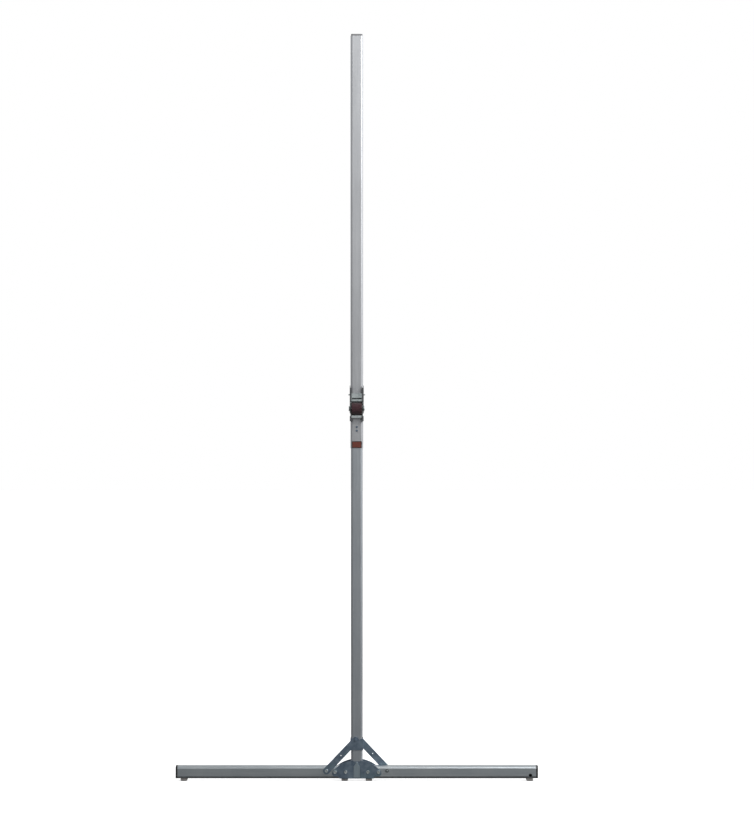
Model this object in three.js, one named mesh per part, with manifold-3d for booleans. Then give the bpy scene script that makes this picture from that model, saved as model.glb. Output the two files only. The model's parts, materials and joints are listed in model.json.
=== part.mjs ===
// Free-standing telescoping net post: a square two-part upright on a folding T-foot, with a strap ratchet.
// Millimetres, +Z up. X runs along the foot, the ratchet faces -Y, the origin is on the floor under the post.
import * as THREE from "three";
import Module from "manifold-3d";
import { mergeVertices } from "three/addons/utils/BufferGeometryUtils.js";

const wasm = await Module();
wasm.setup();

// ---- driving dimensions ----
const GAP = 0.3; // clearance left between pieces that touch
const TOTAL_HEIGHT = 2440;
const FOOT_SPAN = 1184;
const LEG_SIZE = 40;
const LEG_WALL = 2;
const LEG_CORNER = 8;
const LEG_BOTTOM = 8; // height of the legs above the floor, filled by the rubber feet
const LOWER_SIZE = 38;
const LOWER_WALL = 2;
const POST_CORNER = 7; // outer corner radius of both post tubes
const LOWER_FROM = 64;
const LOWER_TO = 1387;
const UPPER_SIZE = 41;
const UPPER_WALL = 1.2;
const UPPER_FROM = 1087;
const PLATE = 3; // gusset, tongue and foot-plate thickness
const BRACE_WIDTH = 22;
const BRACE_PLATE = 4;
const BOLT_RADIUS = 3;
const HOLE_RADIUS = BOLT_RADIUS + GAP;
const HEAD_RADIUS = 5.77; // hexagon across corners
const HEAD_HEIGHT = 4;

// ---- points of the folding foot, as [x, z] on the right-hand side ----
const INNER_BOLT = [36.5, 30];
const LEG_PIVOT = [71, 29.5];
const BRACE_LOWER = [99, 34];
const BRACE_UPPER = [4, 134];

// ---- layers along Y, measured outwards from the post's middle plane ----
const LEG_FACE = LEG_SIZE / 2;
const GUSSET_IN = LEG_FACE + 0.4;
const GUSSET_OUT = GUSSET_IN + PLATE;
const BRACE_IN = GUSSET_OUT + GAP;
const BRACE_OUT = BRACE_IN + BRACE_PLATE;

// ---- ratchet, around its spool axis ----
const SPOOL_Z = 1216;
const POST_FRONT = UPPER_SIZE / 2;
const SHEET = 1.6; // side plates, wheels and arms
const SPOOL_Y = -45.5;
const SHAFT_RADIUS = 6;
const ROLL_RADIUS = 20.7;
const ROLL_HALF = 17;
const FRAME_IN = 17.3; // first x of each layer, going outwards
const WHEEL_IN = 19.2;
const ARM_IN = 21.1;
const FRONT_EDGE = -12; // front edges of the side plates and arms, counted from the spool axis
const WHEEL_TIP = 17;
const WHEEL_ROOT = 13.5;
const TEETH = 12;

// ---- materials ----
function material(color, roughness, metalness) {
  return new THREE.MeshStandardMaterial({ color, roughness, metalness });
}

const POST_ALUMINIUM = material(0xb4b6b9, 0.38, 0.9);
const LEG_METAL = material(0x7d858b, 0.45, 0.85);
const ZINC = material(0x5c6c7c, 0.4, 0.85);
const BRIGHT = material(0xc6cbd0, 0.28, 1);
const RATCHET = material(0x63676a, 0.4, 0.9);
const WEBBING = material(0x431f27, 0.95, 0);
const RUBBER = material(0x8f8a86, 0.9, 0);
const PLASTIC = material(0x1c1d1e, 0.6, 0);
const GREY_PLASTIC = material(0x6b6b6e, 0.6, 0);
const LABEL = material(0x7a2f24, 0.6, 0);

const part = new THREE.Group();
part.name = "net_post";

// ---- solids ----
function solidOf(geometry) {
  const bare = geometry.clone();
  bare.deleteAttribute("normal");
  bare.deleteAttribute("uv");
  const merged = mergeVertices(bare, 1e-4);
  return new wasm.Manifold(
    new wasm.Mesh({
      numProp: 3,
      vertProperties: new Float32Array(merged.attributes.position.array),
      triVerts: new Uint32Array(merged.index.array),
    }),
  );
}

function add(name, solid, look) {
  const made = solid.getMesh();
  const geometry = new THREE.BufferGeometry();
  geometry.setAttribute("position", new THREE.BufferAttribute(new Float32Array(made.vertProperties), 3));
  geometry.setIndex(new THREE.BufferAttribute(new Uint32Array(made.triVerts), 1));
  const flat = geometry.toNonIndexed();
  flat.computeVertexNormals();
  const mesh = new THREE.Mesh(flat, look);
  mesh.name = name;
  part.add(mesh);
}

// A box given by its two corners.
function block([x0, y0, z0], [x1, y1, z1]) {
  const geometry = new THREE.BoxGeometry(x1 - x0, y1 - y0, z1 - z0);
  geometry.translate((x0 + x1) / 2, (y0 + y1) / 2, (z0 + z1) / 2);
  return solidOf(geometry);
}

// A round rod along X or Y between two values of that axis; sides = 6 gives a hexagon.
function rodX(y, z, radius, from, to, sides = 28) {
  const geometry = new THREE.CylinderGeometry(radius, radius, to - from, sides);
  geometry.rotateZ(-Math.PI / 2);
  geometry.translate((from + to) / 2, y, z);
  return solidOf(geometry);
}

function rodY(x, z, radius, from, to, sides = 24) {
  const geometry = new THREE.CylinderGeometry(radius, radius, to - from, sides);
  geometry.translate(x, (from + to) / 2, z);
  return solidOf(geometry);
}

function extrude(shape, depth, curveSegments) {
  return new THREE.ExtrudeGeometry(shape, { depth, bevelEnabled: false, curveSegments });
}

// A flat plate drawn in X-Z, filling y from "from" to "to".
function plateXZ(shape, from, to) {
  const geometry = extrude(shape, to - from, 20);
  const lay = new THREE.Matrix4().makeBasis(
    new THREE.Vector3(1, 0, 0),
    new THREE.Vector3(0, 0, 1),
    new THREE.Vector3(0, -1, 0),
  );
  geometry.applyMatrix4(lay);
  geometry.translate(0, to, 0);
  return solidOf(geometry);
}

// A flat plate drawn in Y-Z about the spool axis, filling x from "from" to "to".
function plateYZ(shape, from, to) {
  const geometry = extrude(shape, to - from, 16);
  const lay = new THREE.Matrix4().makeBasis(
    new THREE.Vector3(0, 1, 0),
    new THREE.Vector3(0, 0, 1),
    new THREE.Vector3(1, 0, 0),
  );
  geometry.applyMatrix4(lay);
  geometry.translate(from, SPOOL_Y, SPOOL_Z);
  return solidOf(geometry);
}

function roundedSquare(size, radius) {
  const half = size / 2;
  const shape = new THREE.Shape();
  shape.moveTo(half, -half + radius);
  shape.absarc(half - radius, half - radius, radius, 0, Math.PI / 2);
  shape.absarc(-half + radius, half - radius, radius, Math.PI / 2, Math.PI);
  shape.absarc(-half + radius, -half + radius, radius, Math.PI, 1.5 * Math.PI);
  shape.absarc(half - radius, -half + radius, radius, 1.5 * Math.PI, 2 * Math.PI);
  return shape;
}

// A square bar or tube standing on z = from; wall 0 gives a solid bar.
function squareBar(size, corner, wall, from, to) {
  const shape = roundedSquare(size, corner);
  if (wall > 0) shape.holes.push(roundedSquare(size - 2 * wall, Math.max(corner - wall, 1)));
  const geometry = extrude(shape, to - from, 6);
  geometry.translate(0, 0, from);
  return solidOf(geometry);
}

// The same bar laid along X at the legs' height.
function legBar(size, corner, wall, from, to) {
  const standing = squareBar(size, corner, wall, 0, to - from);
  return standing.rotate([0, 90, 0]).translate([from, 0, LEG_BOTTOM + LEG_SIZE / 2]);
}

const both = [
  { side: "left", sign: -1 },
  { side: "right", sign: 1 },
];

// Turns a right-hand solid round the post for the left-hand side, so the two sides match after half a turn.
const halfTurn = (solid, sign) => (sign > 0 ? solid : solid.rotate([0, 0, 180]));

// ---- centre of the foot ----
const FOOT_PLATE_HALF = 50;
const PLATE_STEP = 28.6;
const PLATE_END_BOTTOM = LEG_BOTTOM + 0.5;
const CORE_SIZE = 40;
const CORE_WALL = 2;
const INSERT_SIZE = LOWER_SIZE - 2 * LOWER_WALL - 2 * GAP;
const INSERT_TO = 180;
const PLATE_TOP = LEG_BOTTOM + PLATE;

// The ends of the plate are thinner, to take the inner rubber feet.
function footPlate() {
  const ends = block([-FOOT_PLATE_HALF, -LEG_FACE, PLATE_END_BOTTOM], [FOOT_PLATE_HALF, LEG_FACE, PLATE_TOP]);
  return ends.add(block([-PLATE_STEP, -LEG_FACE, LEG_BOTTOM], [PLATE_STEP, LEG_FACE, PLATE_TOP]));
}

function coreStub() {
  return squareBar(CORE_SIZE, 3, CORE_WALL, PLATE_TOP + GAP, LOWER_FROM - 2 * GAP);
}

function postInsert() {
  return squareBar(INSERT_SIZE, POST_CORNER - LOWER_WALL, 2, PLATE_TOP + GAP, INSERT_TO);
}

// Half-moon gusset: one big arc, a rounded tip round the leg pivot, and a foot beside the foot plate's edge.
const GUSSET_ARC = 104;
const GUSSET_ARC_Z = -36;
const GUSSET_IN_X = 10.8;
const TIP = [70, 26];
const TIP_RADIUS = GUSSET_ARC - Math.hypot(TIP[0], TIP[1] - GUSSET_ARC_Z);
const GUSSET_FOOT_X = 56;

function gussetShape() {
  const tangent = Math.atan2(TIP[1] - GUSSET_ARC_Z, TIP[0]);
  const bottom = TIP[1] - TIP_RADIUS;
  const shape = new THREE.Shape();
  shape.moveTo(GUSSET_IN_X, PLATE_END_BOTTOM);
  shape.lineTo(GUSSET_FOOT_X, PLATE_END_BOTTOM);
  shape.lineTo(GUSSET_FOOT_X + 4, bottom);
  shape.lineTo(TIP[0], bottom);
  shape.absarc(TIP[0], TIP[1], TIP_RADIUS, -Math.PI / 2, tangent);
  shape.absarc(0, GUSSET_ARC_Z, GUSSET_ARC, tangent, Math.acos(GUSSET_IN_X / GUSSET_ARC));
  return shape;
}

function gusset(from, to) {
  let plate = plateXZ(gussetShape(), from, to);
  for (const [x, z] of [INNER_BOLT, LEG_PIVOT]) {
    plate = plate.subtract(rodY(x, z, HOLE_RADIUS, from - 1, to + 1));
  }
  return plate;
}

// The narrow tongue between two gussets, with a necked top.
function tongue(from, to) {
  const half = GUSSET_IN_X - 0.5;
  const neck = 3.5;
  const shape = new THREE.Shape();
  shape.moveTo(-half, PLATE_TOP + GAP);
  shape.lineTo(half, PLATE_TOP + GAP);
  shape.lineTo(half, 48);
  shape.lineTo(neck, 56);
  shape.lineTo(neck, 62);
  shape.lineTo(-neck, 62);
  shape.lineTo(-neck, 56);
  shape.lineTo(-half, 48);
  return plateXZ(shape, from, to);
}

// A hexagon-head bolt along Y through (x, z), with its head towards -Y.
function bolt([x, z], headFrom, shankTo) {
  const head = rodY(x, z, HEAD_RADIUS, headFrom, headFrom + HEAD_HEIGHT, 6);
  return head.add(rodY(x, z, BOLT_RADIUS, headFrom + HEAD_HEIGHT / 2, shankTo));
}

function nut([x, z], from) {
  const body = rodY(x, z, HEAD_RADIUS, from, from + HEAD_HEIGHT, 6);
  return body.subtract(rodY(x, z, HOLE_RADIUS, from - 1, from + HEAD_HEIGHT + 1));
}

function ring([x, z], inner, outer, from, to) {
  return rodY(x, z, outer, from, to).subtract(rodY(x, z, inner, from - 1, to + 1));
}

// A rubber pad under a leg, with its lower edges drawn in a little.
function rubberFoot(x, top) {
  const width = 21;
  const half = width / 2;
  const shape = new THREE.Shape();
  shape.moveTo(x - half + 1.5, 0);
  shape.lineTo(x + half - 1.5, 0);
  shape.lineTo(x + half, 1.5);
  shape.lineTo(x + half, top);
  shape.lineTo(x - half, top);
  shape.lineTo(x - half, 1.5);
  return plateXZ(shape, -LEG_FACE, LEG_FACE);
}

add("foot_plate", footPlate(), ZINC);
add("core_stub", coreStub(), ZINC);
add("post_insert", postInsert(), ZINC);
add("tongue_front", tongue(-GUSSET_OUT, -GUSSET_IN), LEG_METAL);
add("tongue_rear", tongue(GUSSET_IN, GUSSET_OUT), LEG_METAL);
const FASTENER_FACE = GUSSET_OUT + GAP;
for (const { side, sign } of both) {
  const mirrored = ([x, z]) => [sign * x, z];
  const front = sign > 0 ? gusset(-GUSSET_OUT, -GUSSET_IN) : gusset(GUSSET_IN, GUSSET_OUT);
  const rear = sign > 0 ? gusset(GUSSET_IN, GUSSET_OUT) : gusset(-GUSSET_OUT, -GUSSET_IN);
  add("gusset_front_" + side, halfTurn(front, sign), ZINC);
  add("gusset_rear_" + side, halfTurn(rear, sign), ZINC);
  add("foot_inner_" + side, rubberFoot(sign * 39.5, PLATE_END_BOTTOM - GAP), RUBBER);
  for (const [name, place] of [["inner", INNER_BOLT], ["pivot", LEG_PIVOT]]) {
    const shankTo = FASTENER_FACE + HEAD_HEIGHT + 1.5;
    add(name + "_bolt_" + side, bolt(mirrored(place), -FASTENER_FACE - HEAD_HEIGHT, shankTo), BRIGHT);
    add(name + "_nut_" + side, nut(mirrored(place), FASTENER_FACE), BRIGHT);
  }
  const reach = GUSSET_IN - GAP;
  add("inner_spacer_" + side, ring(mirrored(INNER_BOLT), HOLE_RADIUS, 6, -reach, reach), ZINC);
}

// ---- lower post ----
add("lower_post", squareBar(LOWER_SIZE, POST_CORNER, LOWER_WALL, LOWER_FROM, LOWER_TO), POST_ALUMINIUM);

// ---- folding legs, their caps, feet and brace bolts ----
const LEG_INNER_END = LEG_PIVOT[0] - 18;
const CAP_FLANGE = 6;
const CAP_PLUG = 22;
const LEG_OUTER_END = FOOT_SPAN / 2 - CAP_FLANGE - GAP;
const OUTER_FOOT_X = 565;
const SCREW_HOLE = [567, 18.6];
const SCREW_HOLE_RADIUS = 5.5;

function leg(sign) {
  let tube = legBar(LEG_SIZE, LEG_CORNER, LEG_WALL, LEG_INNER_END, LEG_OUTER_END);
  for (const [x, z] of [LEG_PIVOT, BRACE_LOWER]) tube = tube.subtract(rodY(x, z, HOLE_RADIUS, -30, 30));
  // Only the right leg has the round hole near its end, in its front face.
  if (sign > 0) tube = tube.subtract(rodY(SCREW_HOLE[0], SCREW_HOLE[1], SCREW_HOLE_RADIUS, -30, -10));
  return halfTurn(tube, sign);
}

function legCap(sign) {
  const flangeFrom = LEG_OUTER_END + GAP;
  const plugSize = LEG_SIZE - 2 * LEG_WALL - 2 * GAP;
  const flange = legBar(LEG_SIZE, LEG_CORNER, 0, flangeFrom, flangeFrom + CAP_FLANGE);
  const plug = legBar(plugSize, LEG_CORNER - LEG_WALL, 3, flangeFrom - CAP_PLUG, flangeFrom + 1);
  let cap = flange.add(plug);
  if (sign > 0) cap = cap.subtract(rodY(SCREW_HOLE[0], SCREW_HOLE[1], SCREW_HOLE_RADIUS + 1.5, -30, -10));
  return halfTurn(cap, sign);
}

// On the right side the brace lies behind the leg, so its bolt head is at the back.
function braceBolt() {
  const headFrom = BRACE_OUT + GAP;
  const head = rodY(BRACE_LOWER[0], BRACE_LOWER[1], HEAD_RADIUS, headFrom, headFrom + HEAD_HEIGHT, 6);
  const shank = rodY(BRACE_LOWER[0], BRACE_LOWER[1], BOLT_RADIUS, -LEG_FACE - HEAD_HEIGHT - 1, headFrom + 1);
  return head.add(shank);
}

for (const { side, sign } of both) {
  const nutFrom = -LEG_FACE - GAP - HEAD_HEIGHT;
  add("leg_" + side, leg(sign), LEG_METAL);
  add("leg_cap_" + side, legCap(sign), PLASTIC);
  add("foot_outer_" + side, rubberFoot(sign * OUTER_FOOT_X, LEG_BOTTOM - GAP), RUBBER);
  add("brace_bolt_" + side, halfTurn(braceBolt(), sign), BRIGHT);
  add("brace_nut_" + side, halfTurn(nut(BRACE_LOWER, nutFrom), sign), RATCHET);
  const washer = ring(BRACE_LOWER, HOLE_RADIUS, 8, LEG_FACE + GAP, BRACE_IN - GAP);
  add("brace_washer_" + side, halfTurn(washer, sign), BRIGHT);
}

// ---- braces and the collar they push ----
function braceShape() {
  const half = BRACE_WIDTH / 2;
  const along = Math.atan2(BRACE_UPPER[1] - BRACE_LOWER[1], BRACE_UPPER[0] - BRACE_LOWER[0]);
  const shape = new THREE.Shape();
  shape.absarc(BRACE_UPPER[0], BRACE_UPPER[1], half, along - Math.PI / 2, along + Math.PI / 2);
  shape.absarc(BRACE_LOWER[0], BRACE_LOWER[1], half, along + Math.PI / 2, along + 1.5 * Math.PI);
  return shape;
}

const BRACE_HOLE_RADIUS = 1.5; // the small open hole half way along each brace

function brace() {
  const middle = [(BRACE_LOWER[0] + BRACE_UPPER[0]) / 2, (BRACE_LOWER[1] + BRACE_UPPER[1]) / 2];
  const from = BRACE_IN - 1;
  const to = BRACE_OUT + 1;
  let bar = plateXZ(braceShape(), BRACE_IN, BRACE_OUT);
  for (const [x, z] of [BRACE_LOWER, BRACE_UPPER]) bar = bar.subtract(rodY(x, z, HOLE_RADIUS, from, to));
  return bar.subtract(rodY(middle[0], middle[1], BRACE_HOLE_RADIUS, from, to));
}

// The rivet stops short of the collar's face.
function braceRivet() {
  const headFrom = BRACE_OUT + GAP;
  const head = rodY(BRACE_UPPER[0], BRACE_UPPER[1], 5, headFrom, headFrom + 2.5);
  return head.add(rodY(BRACE_UPPER[0], BRACE_UPPER[1], BOLT_RADIUS, BRACE_IN, headFrom + 1));
}

for (const { side, sign } of both) {
  add("brace_" + side, halfTurn(brace(), sign), ZINC);
  add("brace_rivet_" + side, halfTurn(braceRivet(), sign), ZINC);
}

const COLLAR_IN = LOWER_SIZE / 2 + 0.5;
const COLLAR_SIDE = 21; // its thin walls, towards the legs
const COLLAR_FACE = GUSSET_OUT - 0.1; // its thick walls, which carry the braces
const COLLAR_FROM = 101;
const COLLAR_TO = 138;
const NOTCH_DEPTH = 6;

// A sleeve round the lower post, with a shallow V in its upper edge.
function collar() {
  const outer = block([-COLLAR_SIDE, -COLLAR_FACE, COLLAR_FROM], [COLLAR_SIDE, COLLAR_FACE, COLLAR_TO]);
  const bore = block([-COLLAR_IN, -COLLAR_IN, COLLAR_FROM - 1], [COLLAR_IN, COLLAR_IN, COLLAR_TO + 1]);
  const notch = new THREE.Shape();
  notch.moveTo(-COLLAR_IN + 2, COLLAR_TO + 1);
  notch.lineTo(0, COLLAR_TO - NOTCH_DEPTH);
  notch.lineTo(COLLAR_IN - 2, COLLAR_TO + 1);
  return outer.subtract(bore).subtract(plateXZ(notch, -30, 30));
}

add("collar", collar(), ZINC);

// ---- upper post ----
const PLUG_FLANGE = 5.7;
const UPPER_TO = TOTAL_HEIGHT - PLUG_FLANGE - GAP;
const SCREW_ROWS = [1144, 1156];

function upperPost() {
  let tube = squareBar(UPPER_SIZE, POST_CORNER, UPPER_WALL, UPPER_FROM, UPPER_TO);
  for (const z of SCREW_ROWS) tube = tube.subtract(rodY(0, z, 2.3, -30, -10));
  return tube;
}

function topPlug() {
  const plugSize = UPPER_SIZE - 2 * UPPER_WALL - 2 * GAP;
  const flange = squareBar(UPPER_SIZE - 4, POST_CORNER - 2, 0, UPPER_TO + GAP, TOTAL_HEIGHT);
  const plug = squareBar(plugSize, POST_CORNER - UPPER_WALL, 3, UPPER_TO - 25, UPPER_TO + GAP + 1);
  return flange.add(plug);
}

function label() {
  const bottom = UPPER_FROM + GAP;
  const half = 16.5;
  return block([-half, -POST_FRONT - GAP - 0.5, bottom], [half, -POST_FRONT - GAP, bottom + 22.5]);
}

function postScrew(z) {
  const inFace = -POST_FRONT + UPPER_WALL - 0.2;
  const head = rodY(0, z, 3.5, -POST_FRONT - GAP - 2.2, -POST_FRONT - GAP);
  return head.add(rodY(0, z, 2, -POST_FRONT - GAP - 1, inFace));
}

add("upper_post", upperPost(), POST_ALUMINIUM);
add("top_plug", topPlug(), GREY_PLASTIC);
add("label", label(), LABEL);
SCREW_ROWS.forEach((z, i) => add("post_screw_" + (i + 1), postScrew(z), ZINC));

// ---- ratchet frame, fixed to the upper post ----
const WEB_BACK = -POST_FRONT - GAP - SPOOL_Y; // the web, counted from the spool axis
const WEB_FACE = WEB_BACK - SHEET;
const FRAME_BOTTOM = -44;
const WEB_BOTTOM = -24; // below this only the two cheeks go on
const WEB_TOP = 34;
const CHEEK_RADIUS = 16;
const LOCK_Y = [-5.3, -2.2]; // slots for the locking pawl
const FRAME_LIP = 5.2; // the front edges below the strap are bent outwards

// A bent lip along a front edge, given on the right-hand side and repeated on the left.
function addLips(solid, from, to, low, high) {
  let made = solid;
  for (const [x0, x1] of [[from, to], [-to, -from]]) {
    const back = SPOOL_Y + FRONT_EDGE + SHEET;
    made = made.add(block([x0, SPOOL_Y + FRONT_EDGE, SPOOL_Z + low], [x1, back, SPOOL_Z + high]));
  }
  return made;
}
const RIVET_ROWS = [-16, 28];

function cheekShape() {
  const shape = new THREE.Shape();
  shape.moveTo(WEB_BACK, FRAME_BOTTOM);
  shape.lineTo(WEB_BACK, CHEEK_RADIUS);
  shape.lineTo(0, CHEEK_RADIUS);
  shape.absarc(0, 0, CHEEK_RADIUS, Math.PI / 2, Math.PI);
  shape.lineTo(FRONT_EDGE, -16);
  shape.lineTo(FRONT_EDGE, FRAME_BOTTOM + 3);
  shape.absarc(FRONT_EDGE + 3, FRAME_BOTTOM + 3, 3, Math.PI, 1.5 * Math.PI);
  return shape;
}

function ratchetFrame() {
  const half = FRAME_IN + SHEET;
  const web = block(
    [-half, SPOOL_Y + WEB_FACE, SPOOL_Z + WEB_BOTTOM],
    [half, SPOOL_Y + WEB_BACK, SPOOL_Z + WEB_TOP],
  );
  let frame = web;
  for (const from of [-half, FRAME_IN]) frame = frame.add(plateYZ(cheekShape(), from, from + SHEET));
  frame = addLips(frame, FRAME_IN, FRAME_IN + FRAME_LIP, FRAME_BOTTOM + 3, WEB_BOTTOM);
  frame = frame.subtract(rodX(SPOOL_Y, SPOOL_Z, SHAFT_RADIUS + GAP, -30, 30));
  const slot = block([-30, SPOOL_Y + LOCK_Y[0], SPOOL_Z - 36], [30, SPOOL_Y + LOCK_Y[1], SPOOL_Z - 21.5]);
  frame = frame.subtract(slot);
  for (const row of RIVET_ROWS) frame = frame.subtract(rodY(0, SPOOL_Z + row, 2.3, -30, -15));
  return frame;
}

function frameRivet(row) {
  const face = SPOOL_Y + WEB_FACE - GAP;
  const head = rodY(0, SPOOL_Z + row, 4.5, face - 1.5, face);
  return head.add(rodY(0, SPOOL_Z + row, 2, face - 1, SPOOL_Y + WEB_BACK));
}

add("ratchet_frame", ratchetFrame(), RATCHET);
RIVET_ROWS.forEach((row, i) => add("frame_rivet_" + (i + 1), frameRivet(row), BRIGHT));

// ---- spool: shaft, two toothed wheels, clip and the wound webbing ----
function wheelShape() {
  const shape = new THREE.Shape();
  for (let tooth = 0; tooth < TEETH; tooth += 1) {
    const start = (tooth * 2 * Math.PI) / TEETH;
    const tip = start + 0.12;
    const root = start + (2 * Math.PI) / TEETH - 0.05;
    if (tooth === 0) shape.moveTo(WHEEL_TIP * Math.cos(start), WHEEL_TIP * Math.sin(start));
    else shape.lineTo(WHEEL_TIP * Math.cos(start), WHEEL_TIP * Math.sin(start));
    shape.lineTo(WHEEL_TIP * Math.cos(tip), WHEEL_TIP * Math.sin(tip));
    shape.lineTo(WHEEL_ROOT * Math.cos(root), WHEEL_ROOT * Math.sin(root));
  }
  shape.holes.push(new THREE.Path().absarc(0, 0, SHAFT_RADIUS + GAP, 0, 2 * Math.PI));
  return shape;
}

function spoolShaft() {
  const rod = rodX(SPOOL_Y, SPOOL_Z, SHAFT_RADIUS, -25.5, 25.5);
  const head = rodX(SPOOL_Y, SPOOL_Z, 8, -25.8, -ARM_IN - SHEET - GAP);
  const slit = block([-15, SPOOL_Y - 10, SPOOL_Z - 1], [15, SPOOL_Y + 10, SPOOL_Z + 1]);
  return rod.add(head).subtract(slit);
}

function sleeveX(inner, outer, from, to, sides) {
  const body = rodX(SPOOL_Y, SPOOL_Z, outer, from, to, sides);
  return body.subtract(rodX(SPOOL_Y, SPOOL_Z, inner, from - 1, to + 1));
}

const CLIP_FROM = ARM_IN + SHEET + GAP;
add("spool_shaft", spoolShaft(), BRIGHT);
add("ratchet_wheel_left", plateYZ(wheelShape(), -WHEEL_IN - SHEET, -WHEEL_IN), RATCHET);
add("ratchet_wheel_right", plateYZ(wheelShape(), WHEEL_IN, WHEEL_IN + SHEET), RATCHET);
add("strap_roll", sleeveX(SHAFT_RADIUS + GAP, ROLL_RADIUS, -ROLL_HALF, ROLL_HALF, 40), WEBBING);
add("spool_clip", sleeveX(SHAFT_RADIUS + GAP, 9, CLIP_FROM, CLIP_FROM + 1.5, 24), BRIGHT);

// ---- handle: two arms with bent front lips, joined by a bridge at their back edge ----
const HANDLE_TOP = 75;
const ARM_LIP = 4;
const LIP_BOTTOM = 22;
const ARM_CORNER = 7;
const HANDLE_BACK = 22;
const BRIDGE = [39, 49];
const PAWL_Y = [-6, -3.5];
const TAB = [43, 47];
const PAWL_TRAVEL = 6;

function armShape() {
  const shape = new THREE.Shape();
  shape.absarc(0, 0, 15.5, -0.85 * Math.PI, 0);
  shape.lineTo(HANDLE_BACK, 24);
  shape.lineTo(HANDLE_BACK, HANDLE_TOP - 8);
  shape.absarc(HANDLE_BACK - 8, HANDLE_TOP - 8, 8, 0, Math.PI / 2);
  shape.lineTo(2, HANDLE_TOP);
  shape.absarc(FRONT_EDGE + ARM_CORNER, HANDLE_TOP - ARM_CORNER, ARM_CORNER, Math.PI / 2, Math.PI);
  shape.lineTo(FRONT_EDGE, 20);
  return shape;
}

function handle() {
  const outer = ARM_IN + SHEET;
  let made = block(
    [-outer, SPOOL_Y + HANDLE_BACK - SHEET, SPOOL_Z + BRIDGE[0]],
    [outer, SPOOL_Y + HANDLE_BACK, SPOOL_Z + BRIDGE[1]],
  );
  for (const from of [-outer, ARM_IN]) made = made.add(plateYZ(armShape(), from, outer + from - ARM_IN));
  made = addLips(made, ARM_IN - ARM_LIP, outer, LIP_BOTTOM, HANDLE_TOP - ARM_CORNER);
  const slot = block(
    [-30, SPOOL_Y + PAWL_Y[0] - GAP, SPOOL_Z + TAB[0] - GAP],
    [30, SPOOL_Y + PAWL_Y[1] + GAP, SPOOL_Z + TAB[1] + PAWL_TRAVEL + GAP],
  );
  made = made.subtract(slot);
  return made.subtract(rodX(SPOOL_Y, SPOOL_Z, SHAFT_RADIUS + GAP, -30, 30));
}

// A pawl is a plate across the ratchet whose two ears reach the wheels.
function pawlBlock(halfWidth, ys, zs) {
  return block(
    [-halfWidth, SPOOL_Y + ys[0], SPOOL_Z + zs[0]],
    [halfWidth, SPOOL_Y + ys[1], SPOOL_Z + zs[1]],
  );
}

const PAWL_HALF = WHEEL_IN + SHEET;
const PAWL_INNER = WHEEL_IN - 0.5; // the ears start here, outside the frame's cheeks
const PAWL_TIP = WHEEL_TIP + 0.5;

// The two raised bars on the front of the drive pawl, with an open window between them.
const PULL_BAR = [35, 49.5];
const LOW_BAR = [24, 30.5];
const WINDOW_HALF = 15.5;
const TAB_REACH = 27;

function drivePawl() {
  const raised = [PAWL_Y[0] - 3, PAWL_Y[0] + 0.5];
  let pawl = pawlBlock(PAWL_HALF, PAWL_Y, [PAWL_TIP, PULL_BAR[1]]);
  pawl = pawl.subtract(pawlBlock(PAWL_INNER + 0.3, [-15, 15], [0, LOW_BAR[0]]));
  pawl = pawl.subtract(pawlBlock(WINDOW_HALF, [-15, 15], [LOW_BAR[1], PULL_BAR[0]]));
  for (const bar of [PULL_BAR, LOW_BAR]) pawl = pawl.add(pawlBlock(PAWL_HALF, raised, bar));
  return pawl.add(pawlBlock(TAB_REACH, PAWL_Y, TAB));
}

function lockPawl() {
  const ys = [LOCK_Y[0] + GAP, LOCK_Y[1] - GAP];
  const pawl = pawlBlock(PAWL_HALF, ys, [-30.5, -PAWL_TIP]);
  return pawl.subtract(pawlBlock(PAWL_INNER + 0.3, [-15, 15], [-22, 0]));
}

add("ratchet_handle", handle(), RATCHET);
add("drive_pawl", drivePawl(), BRIGHT);
add("lock_pawl", lockPawl(), BRIGHT);

export default part;
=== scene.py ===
# Looks for the free-standing net post: finishes for the metal, plastic and rubber,
# and the pieces that CAD left plain.
import json
import math

import bmesh
import bpy
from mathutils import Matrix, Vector


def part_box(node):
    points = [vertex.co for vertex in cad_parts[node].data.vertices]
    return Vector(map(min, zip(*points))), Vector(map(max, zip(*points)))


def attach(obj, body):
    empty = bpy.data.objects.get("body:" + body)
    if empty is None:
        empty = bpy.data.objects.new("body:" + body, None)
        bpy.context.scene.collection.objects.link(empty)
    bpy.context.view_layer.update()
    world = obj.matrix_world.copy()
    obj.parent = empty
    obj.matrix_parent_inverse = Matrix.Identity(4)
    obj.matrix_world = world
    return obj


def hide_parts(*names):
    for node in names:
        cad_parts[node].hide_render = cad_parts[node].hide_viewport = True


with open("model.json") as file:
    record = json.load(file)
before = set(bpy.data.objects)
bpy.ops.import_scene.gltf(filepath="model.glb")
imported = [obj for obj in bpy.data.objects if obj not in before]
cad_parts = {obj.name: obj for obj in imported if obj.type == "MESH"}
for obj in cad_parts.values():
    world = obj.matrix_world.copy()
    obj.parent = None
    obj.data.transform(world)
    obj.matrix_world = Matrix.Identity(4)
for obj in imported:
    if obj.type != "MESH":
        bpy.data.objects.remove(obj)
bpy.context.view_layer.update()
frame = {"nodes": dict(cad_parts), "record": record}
NODES = frame["nodes"]
MM = 0.001

# ---- camera: level, square to the front, far away ----
CAMERA_AT = Vector((0.0660, -8.5, 1.2148))
VIEW_SPAN = 2.671  # metres seen along the picture's long side, at the object
SENSOR = 36.0
camera_data = bpy.data.cameras.new("camera")
camera_data.sensor_width = SENSOR
camera_data.lens = (-CAMERA_AT.y - 0.02) / VIEW_SPAN * SENSOR
camera = bpy.data.objects.new("camera", camera_data)
camera.location = CAMERA_AT
camera.rotation_euler = (math.radians(90), 0, 0)
bpy.context.scene.collection.objects.link(camera)
bpy.context.scene.camera = camera
bpy.context.scene.view_settings.view_transform = "Standard"


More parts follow.
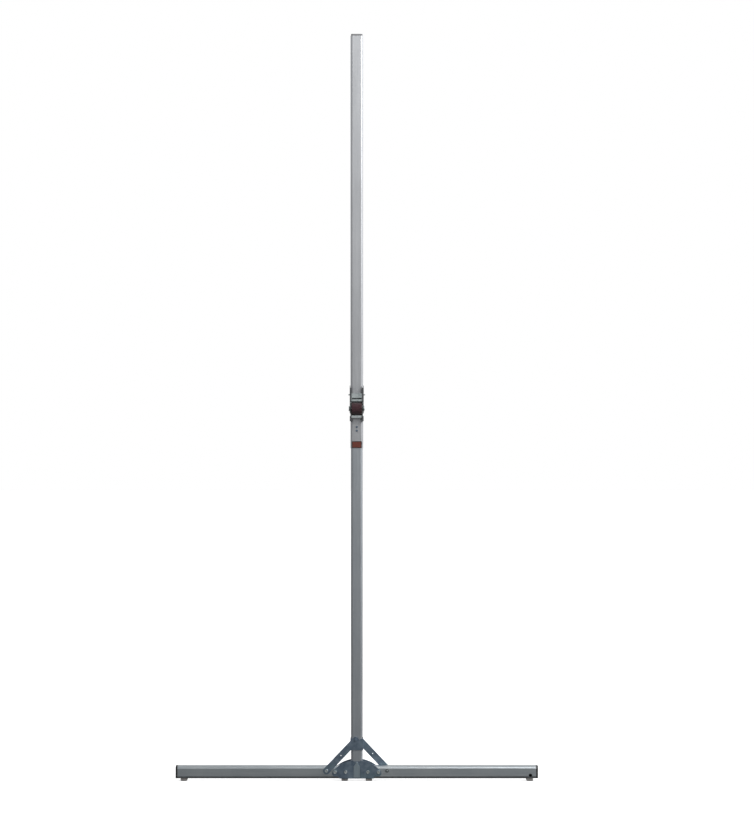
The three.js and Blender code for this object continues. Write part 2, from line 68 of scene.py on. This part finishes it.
# ---- node helpers ----
# Places of the colour sockets on a mix node.
MIX_FIRST = 6
MIX_SECOND = 7
MIX_RESULT = 2


class Graph:
    """A material's node tree, with short calls for the nodes used here."""

    def __init__(self, name):
        self.material = bpy.data.materials.new(name)
        self.material.use_nodes = True
        self.tree = self.material.node_tree
        self.shader = self.tree.nodes["Principled BSDF"]

    def node(self, kind, **settings):
        made = self.tree.nodes.new(kind)
        for key, value in settings.items():
            setattr(made, key, value)
        return made

    def link(self, source, target):
        self.tree.links.new(source, target)

    def coordinates(self, scale, kind="Object"):
        where = self.node("ShaderNodeTexCoord")
        mapping = self.node("ShaderNodeMapping")
        mapping.inputs["Scale"].default_value = scale
        self.link(where.outputs[kind], mapping.inputs["Vector"])
        return mapping.outputs["Vector"]

    def noise(self, scale, detail=3.0, roughness=0.5, kind="Object"):
        made = self.node("ShaderNodeTexNoise")
        made.inputs["Scale"].default_value = 1.0
        made.inputs["Detail"].default_value = detail
        made.inputs["Roughness"].default_value = roughness
        self.link(self.coordinates(scale, kind), made.inputs["Vector"])
        return made.outputs["Fac"]

    def spread(self, value, low, high, out_low=0.0, out_high=1.0):
        made = self.node("ShaderNodeMapRange")
        made.inputs["From Min"].default_value = low
        made.inputs["From Max"].default_value = high
        made.inputs["To Min"].default_value = out_low
        made.inputs["To Max"].default_value = out_high
        self.link(value, made.inputs["Value"])
        return made.outputs["Result"]

    def mix(self, factor, first, second):
        made = self.node("ShaderNodeMix", data_type="RGBA")
        self.link(factor, made.inputs["Factor"])
        for socket, colour in ((made.inputs[MIX_FIRST], first), (made.inputs[MIX_SECOND], second)):
            if isinstance(colour, tuple):
                socket.default_value = (*colour, 1.0)
            else:
                self.link(colour, socket)
        return made.outputs[MIX_RESULT]

    def math(self, operation, first, second=0.0):
        made = self.node("ShaderNodeMath", operation=operation)
        for socket, value in ((made.inputs[0], first), (made.inputs[1], second)):
            if isinstance(value, (int, float)):
                socket.default_value = value
            else:
                self.link(value, socket)
        return made.outputs[0]

    def bump(self, height, strength, distance):
        made = self.node("ShaderNodeBump")
        made.inputs["Strength"].default_value = strength
        made.inputs["Distance"].default_value = distance
        self.link(height, made.inputs["Height"])
        self.link(made.outputs["Normal"], self.shader.inputs["Normal"])

    def set(self, **sockets):
        for name, value in sockets.items():
            socket = self.shader.inputs[name.replace("_", " ")]
            if isinstance(value, (int, float)):
                socket.default_value = value
            else:
                self.link(value, socket)


def rolled_metal(name, light, dark, rough, along):
    """Drawn or rolled metal: fine lines along one axis, cloudy tone, a few rubbed marks.

    along is the axis that the lines follow: 0, 1 or 2.
    """
    graph = Graph(name)
    fine = [1400.0, 1400.0, 1400.0]
    fine[along] = 5.0
    broad = [160.0, 160.0, 160.0]
    broad[along] = 1.2
    lines = graph.noise(tuple(fine), detail=2.0)
    bands = graph.noise(tuple(broad), detail=2.0)
    clouds = graph.noise((14.0, 14.0, 9.0), detail=5.0, roughness=0.6)
    marks = graph.spread(graph.noise((55.0, 55.0, 38.0), detail=6.0, roughness=0.75), 0.64, 0.74)
    tone = graph.math("ADD", graph.math("MULTIPLY", clouds, 0.6), graph.math("MULTIPLY", bands, 0.4))
    colour = graph.mix(graph.spread(tone, 0.38, 0.62), dark, light)
    rubbed = tuple(0.8 * channel for channel in dark)
    graph.set(Base_Color=graph.mix(graph.math("MULTIPLY", marks, 0.55), colour, rubbed), Metallic=1.0)
    rough_lines = graph.spread(lines, 0.3, 0.7, rough - 0.06, rough + 0.06)
    graph.set(Roughness=graph.math("ADD", rough_lines, graph.math("MULTIPLY", marks, 0.12)))
    graph.bump(lines, 0.12, 0.0002)
    return graph.material


def plated_metal(name, light, dark, tint, rough):
    """Zinc plate: small spangle, cloudy bluish or straw tint, dulled patches."""
    graph = Graph(name)
    clouds = graph.noise((60.0, 60.0, 60.0), detail=4.0, roughness=0.6)
    patches = graph.noise((22.0, 22.0, 22.0), detail=3.0)
    spangle = graph.node("ShaderNodeTexVoronoi")
    graph.link(graph.coordinates((420.0, 420.0, 420.0)), spangle.inputs["Vector"])
    spangle.inputs["Scale"].default_value = 1.0
    cells = spangle.outputs["Distance"]
    colour = graph.mix(graph.spread(clouds, 0.35, 0.65), dark, light)
    colour = graph.mix(graph.spread(patches, 0.5, 0.72, 0.0, 0.7), colour, tint)
    graph.set(Base_Color=colour, Metallic=1.0)
    graph.set(Roughness=graph.math("ADD", graph.spread(clouds, 0.3, 0.7, rough - 0.07, rough + 0.09),
                                   graph.math("MULTIPLY", cells, 0.08)))
    graph.bump(graph.math("ADD", cells, graph.math("MULTIPLY", clouds, 0.5)), 0.1, 0.0002)
    return graph.material


def moulded(name, light, dark, rough, grain, depth):
    """Moulded plastic or rubber with a fine grain and dusty patches."""
    graph = Graph(name)
    skin = graph.noise((grain, grain, grain), detail=3.0)
    dust = graph.noise((40.0, 40.0, 40.0), detail=5.0, roughness=0.65)
    graph.set(Base_Color=graph.mix(graph.spread(dust, 0.42, 0.66), dark, light), Metallic=0.0)
    graph.set(Roughness=graph.spread(dust, 0.3, 0.7, rough - 0.06, rough + 0.08))
    graph.bump(skin, 0.25, depth)
    return graph.material


def webbing_material():
    """Woven strap: rows of yarn across and along, read from UVs in millimetres."""
    graph = Graph("webbing")
    where = graph.node("ShaderNodeTexCoord")
    split = graph.node("ShaderNodeSeparateXYZ")
    graph.link(where.outputs["UV"], split.inputs["Vector"])
    across = split.outputs["X"]
    along = split.outputs["Y"]
    weft = graph.math("ABSOLUTE", graph.math("SINE", graph.math("MULTIPLY", along, 2.6)))
    lean = graph.math("ADD", graph.math("MULTIPLY", across, 2.2), graph.math("MULTIPLY", along, 1.3))
    warp = graph.math("ABSOLUTE", graph.math("SINE", lean))
    weave = graph.math("MULTIPLY", graph.math("POWER", weft, 0.6), graph.math("POWER", warp, 0.6))
    fuzz = graph.noise((900.0, 900.0, 900.0), detail=3.0)
    worn = graph.noise((120.0, 120.0, 120.0), detail=4.0)
    yarn = graph.mix(graph.spread(weave, 0.1, 0.9), (0.018, 0.006, 0.009), (0.070, 0.018, 0.026))
    yarn = graph.mix(graph.spread(worn, 0.5, 0.75, 0.0, 0.5), yarn, (0.09, 0.035, 0.042))
    graph.set(Base_Color=yarn, Metallic=0.0, Roughness=0.86)
    graph.set(Sheen_Weight=0.35, Sheen_Roughness=0.5)
    graph.bump(graph.math("ADD", weave, graph.math("MULTIPLY", fuzz, 0.4)), 0.7, 0.0004)
    return graph.material


def label_material(low, high):
    """Plain printed sticker: a warm brown-red field inside a darker border, with no lettering."""
    graph = Graph("label")
    where = graph.node("ShaderNodeTexCoord")
    split = graph.node("ShaderNodeSeparateXYZ")
    graph.link(where.outputs["Object"], split.inputs["Vector"])
    middle = (low + high) / 2
    half = (high - low) / 2
    from_x = graph.math("ABSOLUTE", graph.math("SUBTRACT", split.outputs["X"], middle.x))
    from_z = graph.math("ABSOLUTE", graph.math("SUBTRACT", split.outputs["Z"], middle.z))
    border = 2.5 * MM
    blur = 0.3 * MM
    edge_x = graph.spread(from_x, half.x - border - blur, half.x - border + blur)
    edge_z = graph.spread(from_z, half.z - border - blur, half.z - border + blur)
    edge = graph.math("MAXIMUM", edge_x, edge_z)
    print_noise = graph.noise((300.0, 300.0, 300.0), detail=4.0)
    field = graph.mix(graph.spread(print_noise, 0.35, 0.65), (0.150, 0.034, 0.021), (0.195, 0.046, 0.029))
    graph.set(Base_Color=graph.mix(edge, field, (0.045, 0.022, 0.020)), Metallic=0.0)
    graph.set(Roughness=graph.spread(print_noise, 0.3, 0.7, 0.38, 0.52))
    graph.bump(print_noise, 0.1, 0.0001)
    return graph.material


MATERIALS = {
    # The two post tubes are one aluminium. The upper tube's copy is painted lighter as painted light from
    # above, and the lower tube's copy is painted darker as painted shade lower down.
    "post_lower_painted_shade": rolled_metal("lower_aluminium_painted_shade", (0.66, 0.70, 0.73), (0.60, 0.64, 0.68), 0.34, 2),
    "post_upper_painted_lit": rolled_metal("upper_aluminium_painted_lit", (0.73, 0.74, 0.76), (0.67, 0.68, 0.70), 0.34, 2),
    "tongue": rolled_metal("tongue_steel", (0.50, 0.60, 0.66), (0.45, 0.54, 0.60), 0.36, 2),
    "leg_metal": rolled_metal("leg_steel", (0.61, 0.65, 0.67), (0.54, 0.59, 0.62), 0.38, 0),
    "zinc_steel": plated_metal(
        "zinc_blue", (0.28, 0.35, 0.42), (0.19, 0.25, 0.33), (0.20, 0.30, 0.34), 0.38),
    "bright_steel": plated_metal(
        "zinc_bright", (0.68, 0.73, 0.73), (0.56, 0.62, 0.63), (0.60, 0.68, 0.66), 0.30),
    "ratchet_steel": plated_metal(
        "ratchet_steel", (0.17, 0.175, 0.18), (0.11, 0.115, 0.12), (0.15, 0.165, 0.16), 0.42),
    "rubber": moulded("foot_rubber", (0.30, 0.285, 0.275), (0.22, 0.21, 0.205), 0.82, 900.0, 0.0003),
    "black_plastic": moulded(
        "cap_plastic", (0.055, 0.056, 0.058), (0.032, 0.033, 0.035), 0.50, 1600.0, 0.0001),
    "grey_plastic": moulded("plug_plastic", (0.34, 0.34, 0.35), (0.27, 0.27, 0.28), 0.50, 1600.0, 0.0001),
    "webbing": webbing_material(),
    "label": label_material(*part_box("label")),
}


# ---- CAD nodes that stay: finish and softened edges ----
# How wide the bevel on each slot's sharp edges is, in millimetres.
EDGE = {"zinc_steel": 0.5, "leg_metal": 0.35, "ratchet_steel": 0.35, "bright_steel": 0.3,
        "rubber": 1.1, "black_plastic": 0.8, "grey_plastic": 0.8, "post_aluminium": 0.25}


def soften(obj, width):
    """Shades the faces smooth and rounds the sharp edges in modifiers; width is in millimetres."""
    for polygon in obj.data.polygons:
        polygon.use_smooth = True
    weld = obj.modifiers.new("weld", "WELD")
    weld.merge_threshold = 0.00001
    bevel = obj.modifiers.new("edges", "BEVEL")
    bevel.width = width * MM
    bevel.segments = 2
    bevel.limit_method = "ANGLE"
    bevel.angle_limit = math.radians(32)
    flat = obj.modifiers.new("flat", "WEIGHTED_NORMAL")
    flat.keep_sharp = True


def dress(obj, material):
    obj.data.materials.clear()
    obj.data.materials.append(material)


for entry in frame["record"]["subparts"]:
    name = entry["node"]
    slot = entry["material_slot"]
    look = slot
    # The upper tube gets the lighter copy, with painted light, and the lower tube gets the darker copy, with
    # painted shade.
    if slot == "post_aluminium":
        look = "post_upper_painted_lit" if name == "upper_post" else "post_lower_painted_shade"
    if name.startswith("tongue"):
        look = "tongue"
    dress(NODES[name], MATERIALS[look])
    if slot in EDGE:
        soften(NODES[name], EDGE[slot])


# ---- pieces made here ----
def new_piece(name, mesh, material, body, replaces=()):
    obj = bpy.data.objects.new(name, mesh)
    bpy.context.scene.collection.objects.link(obj)
    dress(obj, MATERIALS[material])
    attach(obj, body)
    if replaces:
        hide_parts(*replaces)
    return obj


def mesh_of(name, build, smooth_angle=35):
    """Runs build(bm) on an empty bmesh and returns the mesh, shaded smooth under the given angle."""
    bm = bmesh.new()
    build(bm)
    bmesh.ops.recalc_face_normals(bm, faces=bm.faces)
    mesh = bpy.data.meshes.new(name)
    bm.to_mesh(mesh)
    bm.free()
    mesh.shade_smooth()
    mesh.set_sharp_from_angle(angle=math.radians(smooth_angle))
    return mesh


def selvedge(edge):
    """The strap's thickness as a share of its middle's; edge goes from 0 in the middle to 1 at the rim."""
    if edge > 0.99:
        return 0.5
    if edge > 0.95:
        return 0.92
    return 1.0


def wound_strap():
    """A flat strap wound tightly round the spool: a spiral ribbon that ends on the roll."""
    low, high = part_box("strap_roll")
    centre = (low + high) / 2
    width = high.x - low.x
    outer = (high.z - low.z) / 2
    thickness = 1.35 * MM
    inner = 6.6 * MM
    pitch = 1.55 * MM
    turns = (outer - thickness - inner) / pitch
    steps_per_turn = 44
    steps = int(turns * steps_per_turn)
    side_gap = 0.8 * MM  # both sides together
    start_angle = 0.9
    wander = 0.25 * MM
    crown_share = 0.12
    across = [-0.5, -0.485, -0.45, -0.3, -0.15, 0.0, 0.15, 0.3, 0.45, 0.485, 0.5]
    mesh = bpy.data.meshes.new("strap")
    bm = bmesh.new()
    uv = bm.loops.layers.uv.new("weave")
    rings = []
    length = 0.0
    for step in range(steps + 1):
        angle = 2 * math.pi * turns * step / steps
        radius = inner + pitch * angle / (2 * math.pi)
        drift = wander * math.sin(angle * 0.31)  # turns never line up exactly
        direction = Vector((0, math.cos(-angle - start_angle), math.sin(-angle - start_angle)))
        top = []
        bottom = []
        for share in across:
            edge = abs(share) * 2
            thin = thickness * selvedge(edge)
            x = centre.x + share * (width - side_gap) + drift
            crown = thickness * crown_share * (1 - edge * edge)
            mid = radius + thickness / 2
            base = Vector((x, centre.y, centre.z))
            top.append(bm.verts.new(base + direction * (mid + thin / 2 + crown * 0.5)))
            bottom.append(bm.verts.new(base + direction * (mid - thin / 2 + crown * 0.5)))
        rings.append((top + bottom[::-1], length))
        length += radius * 2 * math.pi * turns / steps
    count = len(rings[0][0])
    widths = [share * width / MM for share in across]
    widths += widths[::-1]
    for (ring, at), (following, following_at) in zip(rings, rings[1:]):
        for i in range(count):
            j = (i + 1) % count
            face = bm.faces.new((ring[i], ring[j], following[j], following[i]))
            spots = ((widths[i], at), (widths[j], at), (widths[j], following_at), (widths[i], following_at))
            for loop, (u, v) in zip(face.loops, spots):
                loop[uv].uv = (u, v / MM)
    bm.faces.new(rings[0][0])
    bm.faces.new(rings[-1][0][::-1])
    bmesh.ops.recalc_face_normals(bm, faces=bm.faces)
    bm.to_mesh(mesh)
    bm.free()
    mesh.shade_smooth()
    mesh.set_sharp_from_angle(angle=math.radians(50))
    return new_piece("strap", mesh, "webbing", "spool", ["strap_roll"])


def rounded_sticker():
    """The blank label: a thin sheet with rounded corners."""
    low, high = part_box("label")
    radius = 2.2 * MM
    corner_steps = 6
    front_inset = 0.05 * MM
    back_reach = 0.25 * MM  # most of the way across the gap between the label and the post

    def build(bm):
        outline = []
        for cx, cz, start in ((high.x - radius, high.z - radius, 0), (low.x + radius, high.z - radius, 90),
                              (low.x + radius, low.z + radius, 180), (high.x - radius, low.z + radius, 270)):
            for step in range(corner_steps + 1):
                angle = math.radians(start + 90 / corner_steps * step)
                outline.append((cx + radius * math.cos(angle), cz + radius * math.sin(angle)))
        front = [bm.verts.new((x, low.y + front_inset, z)) for x, z in outline]
        back = [bm.verts.new((x, high.y + back_reach, z)) for x, z in outline]
        bm.faces.new(front)
        bm.faces.new(back[::-1])
        for i in range(len(outline)):
            j = (i + 1) % len(outline)
            bm.faces.new((front[i], back[i], back[j], front[j]))

    return new_piece("sticker", mesh_of("sticker", build), "label", "upper_post", ["label"])


HEX_FLAT = 5.0 * MM  # half the width across the flats
HEX_POINTS = 24  # points in each ring
HEAD = 4.0 * MM  # height of a bolt's head
CHAMFER_FROM = 0.94 * HEX_FLAT  # radius at which the turned chamfer begins


def hex_loop(bm, place, along, side, up, radius_of, height_of):
    """One ring of points round the bolt's axis, each at its own radius and height."""
    ring = []
    for step in range(HEX_POINTS):
        angle = math.radians(360 / HEX_POINTS * step)
        direction = side * math.cos(angle) + up * math.sin(angle)
        ring.append(bm.verts.new(place + direction * radius_of(angle) + along * height_of(angle)))
    return ring


def skin(bm, rings, close_first=True, close_last=True):
    for ring, following in zip(rings, rings[1:]):
        for i in range(len(ring)):
            j = (i + 1) % len(ring)
            bm.faces.new((ring[i], ring[j], following[j], following[i]))
    if close_first:
        bm.faces.new(rings[0][::-1])
    if close_last:
        bm.faces.new(rings[-1])


def even(value):
    """A radius or height that is the same all round."""
    return lambda angle: value


def hexagon(angle):
    """Distance from the axis to a hexagon's side, corners at 0, 60, 120 ... degrees."""
    return HEX_FLAT / math.cos((angle % math.radians(60)) - math.radians(30))


def chamfered(angle, height):
    """The height of a head's side face, cut back at its corners by the turned chamfer."""
    return height - (hexagon(angle) - CHAMFER_FROM) * math.tan(math.radians(30))


def hex_bolt(name, node, body, outward):
    """A through bolt along Y with a chamfered head, a washer face and a threaded, chamfered end."""
    low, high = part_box(node)
    middle = (low + high) / 2
    length = high.y - low.y
    place = Vector((middle.x, low.y if outward < 0 else high.y, middle.z))
    along = Vector((0, -outward, 0))
    side = Vector((0, 0, 1))
    up = along.cross(side)
    shank = 3.0 * MM
    washer = 0.4 * MM  # depth of the washer face
    washer_radius = 0.95 * HEX_FLAT
    dish_radius = 0.6 * HEX_FLAT
    dish_depth = 0.25 * MM
    threaded = 12 * MM
    turn = 1.0 * MM
    thread_depth = 0.45 * MM
    end_chamfer = 0.6 * MM

    def build(bm):
        def ring(radius_of, height_of):
            return hex_loop(bm, place, along, side, up, radius_of, height_of)

        rings = [
            ring(even(dish_radius), even(dish_depth)),
            ring(even(CHAMFER_FROM), even(0.0)),
            ring(hexagon, lambda angle: HEAD - chamfered(angle, HEAD)),
            ring(hexagon, even(HEAD - washer)),
            ring(even(washer_radius), even(HEAD - washer)),
            ring(even(washer_radius), even(HEAD)),
            ring(even(shank), even(HEAD)),
            ring(even(shank), even(length - threaded)),
        ]
        at = length - threaded
        while at + turn < length - end_chamfer:
            rings.append(ring(even(shank), even(at + 0.3 * turn)))
            rings.append(ring(even(shank - thread_depth), even(at + 0.65 * turn)))
            at += turn
        rings.append(ring(even(shank), even(length - end_chamfer)))
        rings.append(ring(even(shank - end_chamfer), even(length)))
        skin(bm, rings)

    return new_piece(name, mesh_of(name, build, 25), "bright_steel", body, [node])


def hex_nut(name, node, body, material):
    """A nut along Y, chamfered on both sides, with an open bore."""
    low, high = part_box(node)
    middle = (low + high) / 2
    height = high.y - low.y
    place = Vector((middle.x, low.y, middle.z))
    along = Vector((0, 1, 0))
    side = Vector((0, 0, 1))
    up = along.cross(side)
    bore = 3.25 * MM
    mouth_width = 0.4 * MM
    mouth_depth = 0.5 * MM
    cut = HEAD - height

    def build(bm):
        def ring(radius_of, height_of):
            return hex_loop(bm, place, along, side, up, radius_of, height_of)

        rings = [
            ring(even(bore), even(mouth_depth)),
            ring(even(bore + mouth_width), even(0.0)),
            ring(even(CHAMFER_FROM), even(0.0)),
            ring(hexagon, lambda angle: HEAD - chamfered(angle, HEAD)),
            ring(hexagon, lambda angle: chamfered(angle, HEAD) - cut),
            ring(even(CHAMFER_FROM), even(height)),
            ring(even(bore + mouth_width), even(height)),
            ring(even(bore), even(height - mouth_depth)),
        ]
        rings.append(rings[0])
        skin(bm, rings, close_first=False, close_last=False)

    return new_piece(name, mesh_of(name, build, 25), material, body, [node])


def weld_bead(name, body, points, radius):
    """A rippled bead of weld along a line of points."""
    ripple_step = 0.9 * MM
    ripple = 0.16
    sides = 8

    def build(bm):
        rings = []
        for start, end in zip(points, points[1:]):
            count = max(int((end - start).length / ripple_step), 2)
            for step in range(count):
                spot = start.lerp(end, step / count)
                swell = radius * (1.0 + ripple * math.sin(len(rings) * 1.9))
                direction = (end - start).normalized()
                side = direction.cross(Vector((0, 0, 1)))
                side = side.normalized() if side.length > 0.1 else Vector((0, 1, 0))
                up = side.cross(direction)
                ring = []
                for k in range(sides):
                    angle = 2 * math.pi * k / sides
                    ring.append(bm.verts.new(spot + (side * math.cos(angle) + up * math.sin(angle)) * swell))
                rings.append(ring)
        skin(bm, rings)

    return new_piece(name, mesh_of(name, build, 60), "zinc_steel", body)


wound_strap()
rounded_sticker()
for side in ("left", "right"):
    hex_bolt("inner_bolt_piece_" + side, "inner_bolt_" + side, "base", -1)
    hex_bolt("pivot_bolt_piece_" + side, "pivot_bolt_" + side, "base", -1)
    hex_bolt("brace_bolt_piece_" + side, "brace_bolt_" + side, side + "_leg", 1 if side == "right" else -1)
    hex_nut("inner_nut_piece_" + side, "inner_nut_" + side, "base", "bright_steel")
    hex_nut("pivot_nut_piece_" + side, "pivot_nut_" + side, "base", "bright_steel")
    hex_nut("brace_nut_piece_" + side, "brace_nut_" + side, side + "_leg", "ratchet_steel")

core_low, core_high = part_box("core_stub")
weld_z = core_low.z + 0.3 * MM
inset = 0.2 * MM
weld_radius = 1.6 * MM
for side, x in (("left", core_low.x), ("right", core_high.x)):
    ends = [Vector((x, core_low.y + inset, weld_z)), Vector((x, core_high.y - inset, weld_z))]
    weld_bead("weld_" + side, "base", ends, weld_radius)


# ---- floor, background and light ----
def make_floor():
    """White to the camera and nearly black to every other ray."""
    drop = 0.5 * MM
    bpy.ops.mesh.primitive_plane_add(size=60, location=(0, 0, -drop))
    floor = bpy.context.object
    floor.name = "floor"
    graph = Graph("floor")
    graph.set(Roughness=0.9)
    path = graph.node("ShaderNodeLightPath")
    seen = path.outputs["Is Camera Ray"]
    graph.set(Base_Color=graph.mix(seen, (0.07, 0.07, 0.07), (0.90, 0.90, 0.90)))
    graph.set(Emission_Color=graph.mix(seen, (0.0, 0.0, 0.0), (1.0, 1.0, 1.0)), Emission_Strength=0.75)
    dress(floor, graph.material)


def make_world():
    """White to the camera; for the object, a soft room, brightest to the right and a little above level."""
    world = bpy.data.worlds.new("studio")
    bpy.context.scene.world = world
    world.use_nodes = True
    tree = world.node_tree
    output = tree.nodes["World Output"]
    room = tree.nodes["Background"]
    where = tree.nodes.new("ShaderNodeTexCoord")
    split = tree.nodes.new("ShaderNodeSeparateXYZ")
    tree.links.new(where.outputs["Generated"], split.inputs["Vector"])

    def ramp(source, low, high, out_low, out_high):
        made = tree.nodes.new("ShaderNodeMapRange")
        made.interpolation_type = "SMOOTHSTEP"
        made.inputs["From Min"].default_value = low
        made.inputs["From Max"].default_value = high
        made.inputs["To Min"].default_value = out_low
        made.inputs["To Max"].default_value = out_high
        tree.links.new(source, made.inputs["Value"])
        return made.outputs["Result"]

    sideways = ramp(split.outputs["X"], -0.20, 0.85, 0.46, 1.25)
    upwards = ramp(split.outputs["Z"], -0.30, 0.35, 0.12, 1.4)
    ceiling = ramp(split.outputs["Z"], 0.20, 0.75, 1.0, 0.22)

    def product(first, second):
        made = tree.nodes.new("ShaderNodeMath")
        made.operation = "MULTIPLY"
        tree.links.new(first, made.inputs[0])
        tree.links.new(second, made.inputs[1])
        return made.outputs[0]

    tree.links.new(product(product(sideways, upwards), ceiling), room.inputs["Strength"])
    room.inputs["Color"].default_value = (0.97, 0.985, 1.0, 1.0)
    white = tree.nodes.new("ShaderNodeBackground")
    white.inputs["Strength"].default_value = 1.0
    white.inputs["Color"].default_value = (1, 1, 1, 1)
    path = tree.nodes.new("ShaderNodeLightPath")
    choose = tree.nodes.new("ShaderNodeMixShader")
    tree.links.new(path.outputs["Is Camera Ray"], choose.inputs["Fac"])
    tree.links.new(room.outputs["Background"], choose.inputs[1])
    tree.links.new(white.outputs["Background"], choose.inputs[2])
    tree.links.new(choose.outputs["Shader"], output.inputs["Surface"])


def area_light(name, at, target, size, power):
    """A square lamp of the given size at one point, facing another."""
    data = bpy.data.lights.new(name, "AREA")
    data.size = size
    data.energy = power
    light = bpy.data.objects.new(name, data)
    light.location = at
    light.rotation_euler = (Vector(target) - Vector(at)).to_track_quat("-Z", "Y").to_euler()
    bpy.context.scene.collection.objects.link(light)


make_floor()
make_world()
area_light("overhead", (0.6, 1.0, 6.0), (0, 0, 0), 4.0, 50)
area_light("key", (2.6, -4.5, 4.6), (0, 0, 1.8), 2.2, 190)
